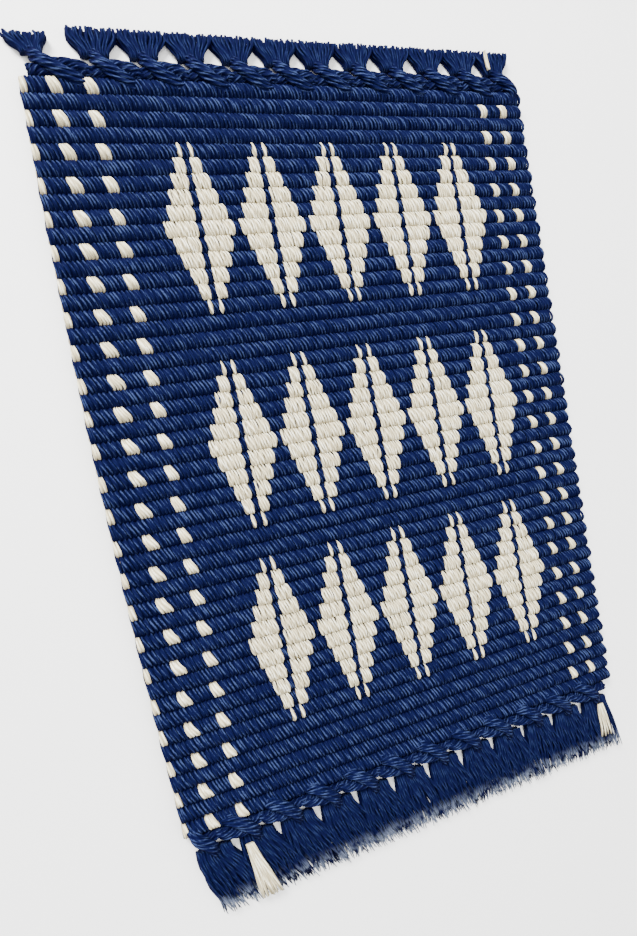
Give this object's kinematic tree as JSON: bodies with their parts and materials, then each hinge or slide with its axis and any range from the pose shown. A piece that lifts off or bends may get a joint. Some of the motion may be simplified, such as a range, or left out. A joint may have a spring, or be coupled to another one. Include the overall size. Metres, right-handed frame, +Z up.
{
  "type": "hand-woven table mat",
  "caption": "Rectangular warp-faced woven cotton mat with rows of inlaid diamonds, dotted border stripes, knotted ends and tassels that flop.",
  "frame": {"origin": "centre of the footprint, on the table", "axes": "+X along the weft to the right selvedge, +Y along the warp to the top end, +Z up out of the patterned face"},
  "size_m": [0.142, 0.2232, 0.0046],
  "materials": {
    "navy_warp": "plied mercerised cotton, soft sheen",
    "cream_warp": "plied cotton, matt",
    "cream_inlay": "plump plied cotton, matt",
    "weft_cotton": "thick cotton cord, matt",
    "navy_knots": "bundled plied cotton, soft sheen",
    "cut_fringe": "plied cotton, cut straight",
    "frayed_fringe": "plied cotton, frayed at the cut"
  },
  "bodies": {
    "cloth": {"weft_cord": "weft_cotton", "navy_band_left_outer": "navy_warp", "navy_band_left_inner": "navy_warp", "navy_field": "navy_warp", "navy_band_right_inner": "navy_warp", "navy_band_right_selvedge": "navy_warp", "navy_stripe_warps": "navy_warp", "cream_warp_left_outer": "cream_warp", "cream_warp_left_middle": "cream_warp", "cream_warp_left_inner": "cream_warp", "cream_warp_right_inner": "cream_warp", "cream_warp_right_outer": "cream_warp", "diamond_top_1": "cream_inlay", "diamond_top_2": "cream_inlay", "diamond_top_3": "cream_inlay", "diamond_top_4": "cream_inlay", "diamond_top_5": "cream_inlay", "diamond_middle_1": "cream_inlay", "diamond_middle_2": "cream_inlay", "diamond_middle_3": "cream_inlay", "diamond_middle_4": "cream_inlay", "diamond_middle_5": "cream_inlay", "diamond_bottom_1": "cream_inlay", "diamond_bottom_2": "cream_inlay", "diamond_bottom_3": "cream_inlay", "diamond_bottom_4": "cream_inlay", "diamond_bottom_5": "cream_inlay", "top_edge_knots": "navy_knots", "bottom_edge_knots": "navy_knots"},
    "top_tassel_1": {"top_tassel_1": "cut_fringe"},
    "top_tassel_2": {"top_tassel_2": "cut_fringe"},
    "top_tassel_3": {"top_tassel_3": "cut_fringe"},
    "top_tassel_4": {"top_tassel_4": "cut_fringe"},
    "top_tassel_5": {"top_tassel_5": "cut_fringe"},
    "top_tassel_6": {"top_tassel_6": "cut_fringe"},
    "top_tassel_7": {"top_tassel_7": "cut_fringe"},
    "top_tassel_8": {"top_tassel_8": "cut_fringe"},
    "top_tassel_9": {"top_tassel_9": "cut_fringe"},
    "top_tassel_10": {"top_tassel_10": "cut_fringe"},
    "top_tassel_11": {"top_tassel_11": "cut_fringe"},
    "top_tassel_12": {"top_tassel_12": "cut_fringe"},
    "bottom_tassel_1": {"bottom_tassel_1": "frayed_fringe"},
    "bottom_tassel_2": {"bottom_tassel_2": "frayed_fringe"},
    "bottom_tassel_3": {"bottom_tassel_3": "frayed_fringe"},
    "bottom_tassel_4": {"bottom_tassel_4": "frayed_fringe"},
    "bottom_tassel_5": {"bottom_tassel_5": "frayed_fringe"},
    "bottom_tassel_6": {"bottom_tassel_6": "frayed_fringe"},
    "bottom_tassel_7": {"bottom_tassel_7": "frayed_fringe"},
    "bottom_tassel_8": {"bottom_tassel_8": "frayed_fringe"},
    "bottom_tassel_9": {"bottom_tassel_9": "frayed_fringe"},
    "bottom_tassel_10": {"bottom_tassel_10": "frayed_fringe"},
    "bottom_tassel_11": {"bottom_tassel_11": "frayed_fringe"},
    "bottom_tassel_12": {"bottom_tassel_12": "frayed_fringe"}
  },
  "joints": [
    {"name": "top_tassel_1_lift", "type": "hinge", "parent": "cloth", "child": "top_tassel_1", "pos_m": [-0.06395, 0.1054, 0.0015], "axis": [1, 0, 0], "range_deg": [0, 100]},
    {"name": "top_tassel_2_lift", "type": "hinge", "parent": "cloth", "child": "top_tassel_2", "pos_m": [-0.05232, 0.1054, 0.0015], "axis": [1, 0, 0], "range_deg": [0, 100]},
    {"name": "top_tassel_3_lift", "type": "hinge", "parent": "cloth", "child": "top_tassel_3", "pos_m": [-0.04069, 0.1054, 0.0015], "axis": [1, 0, 0], "range_deg": [0, 100]},
    {"name": "top_tassel_4_lift", "type": "hinge", "parent": "cloth", "child": "top_tassel_4", "pos_m": [-0.02907, 0.1054, 0.0015], "axis": [1, 0, 0], "range_deg": [0, 100]},
    {"name": "top_tassel_5_lift", "type": "hinge", "parent": "cloth", "child": "top_tassel_5", "pos_m": [-0.01744, 0.1054, 0.0015], "axis": [1, 0, 0], "range_deg": [0, 100]},
    {"name": "top_tassel_6_lift", "type": "hinge", "parent": "cloth", "child": "top_tassel_6", "pos_m": [-0.00581, 0.1054, 0.0015], "axis": [1, 0, 0], "range_deg": [0, 100]},
    {"name": "top_tassel_7_lift", "type": "hinge", "parent": "cloth", "child": "top_tassel_7", "pos_m": [0.00581, 0.1054, 0.0015], "axis": [1, 0, 0], "range_deg": [0, 100]},
    {"name": "top_tassel_8_lift", "type": "hinge", "parent": "cloth", "child": "top_tassel_8", "pos_m": [0.01744, 0.1054, 0.0015], "axis": [1, 0, 0], "range_deg": [0, 100]},
    {"name": "top_tassel_9_lift", "type": "hinge", "parent": "cloth", "child": "top_tassel_9", "pos_m": [0.02907, 0.1054, 0.0015], "axis": [1, 0, 0], "range_deg": [0, 100]},
    {"name": "top_tassel_10_lift", "type": "hinge", "parent": "cloth", "child": "top_tassel_10", "pos_m": [0.04069, 0.1054, 0.0015], "axis": [1, 0, 0], "range_deg": [0, 100]},
    {"name": "top_tassel_11_lift", "type": "hinge", "parent": "cloth", "child": "top_tassel_11", "pos_m": [0.05232, 0.1054, 0.0015], "axis": [1, 0, 0], "range_deg": [0, 100]},
    {"name": "top_tassel_12_lift", "type": "hinge", "parent": "cloth", "child": "top_tassel_12", "pos_m": [0.06395, 0.1054, 0.0015], "axis": [1, 0, 0], "range_deg": [0, 100]},
    {"name": "bottom_tassel_1_lift", "type": "hinge", "parent": "cloth", "child": "bottom_tassel_1", "pos_m": [-0.06395, -0.0954, 0.0015], "axis": [-1, 0, 0], "range_deg": [0, 100]},
    {"name": "bottom_tassel_2_lift", "type": "hinge", "parent": "cloth", "child": "bottom_tassel_2", "pos_m": [-0.05232, -0.0954, 0.0015], "axis": [-1, 0, 0], "range_deg": [0, 100]},
    {"name": "bottom_tassel_3_lift", "type": "hinge", "parent": "cloth", "child": "bottom_tassel_3", "pos_m": [-0.04069, -0.0954, 0.0015], "axis": [-1, 0, 0], "range_deg": [0, 100]},
    {"name": "bottom_tassel_4_lift", "type": "hinge", "parent": "cloth", "child": "bottom_tassel_4", "pos_m": [-0.02907, -0.0954, 0.0015], "axis": [-1, 0, 0], "range_deg": [0, 100]},
    {"name": "bottom_tassel_5_lift", "type": "hinge", "parent": "cloth", "child": "bottom_tassel_5", "pos_m": [-0.01744, -0.0954, 0.0015], "axis": [-1, 0, 0], "range_deg": [0, 100]},
    {"name": "bottom_tassel_6_lift", "type": "hinge", "parent": "cloth", "child": "bottom_tassel_6", "pos_m": [-0.00581, -0.0954, 0.0015], "axis": [-1, 0, 0], "range_deg": [0, 100]},
    {"name": "bottom_tassel_7_lift", "type": "hinge", "parent": "cloth", "child": "bottom_tassel_7", "pos_m": [0.00581, -0.0954, 0.0015], "axis": [-1, 0, 0], "range_deg": [0, 100]},
    {"name": "bottom_tassel_8_lift", "type": "hinge", "parent": "cloth", "child": "bottom_tassel_8", "pos_m": [0.01744, -0.0954, 0.0015], "axis": [-1, 0, 0], "range_deg": [0, 100]},
    {"name": "bottom_tassel_9_lift", "type": "hinge", "parent": "cloth", "child": "bottom_tassel_9", "pos_m": [0.02907, -0.0954, 0.0015], "axis": [-1, 0, 0], "range_deg": [0, 100]},
    {"name": "bottom_tassel_10_lift", "type": "hinge", "parent": "cloth", "child": "bottom_tassel_10", "pos_m": [0.04069, -0.0954, 0.0015], "axis": [-1, 0, 0], "range_deg": [0, 100]},
    {"name": "bottom_tassel_11_lift", "type": "hinge", "parent": "cloth", "child": "bottom_tassel_11", "pos_m": [0.05232, -0.0954, 0.0015], "axis": [-1, 0, 0], "range_deg": [0, 100]},
    {"name": "bottom_tassel_12_lift", "type": "hinge", "parent": "cloth", "child": "bottom_tassel_12", "pos_m": [0.06395, -0.0954, 0.0015], "axis": [-1, 0, 0], "range_deg": [0, 100]}
  ]
}
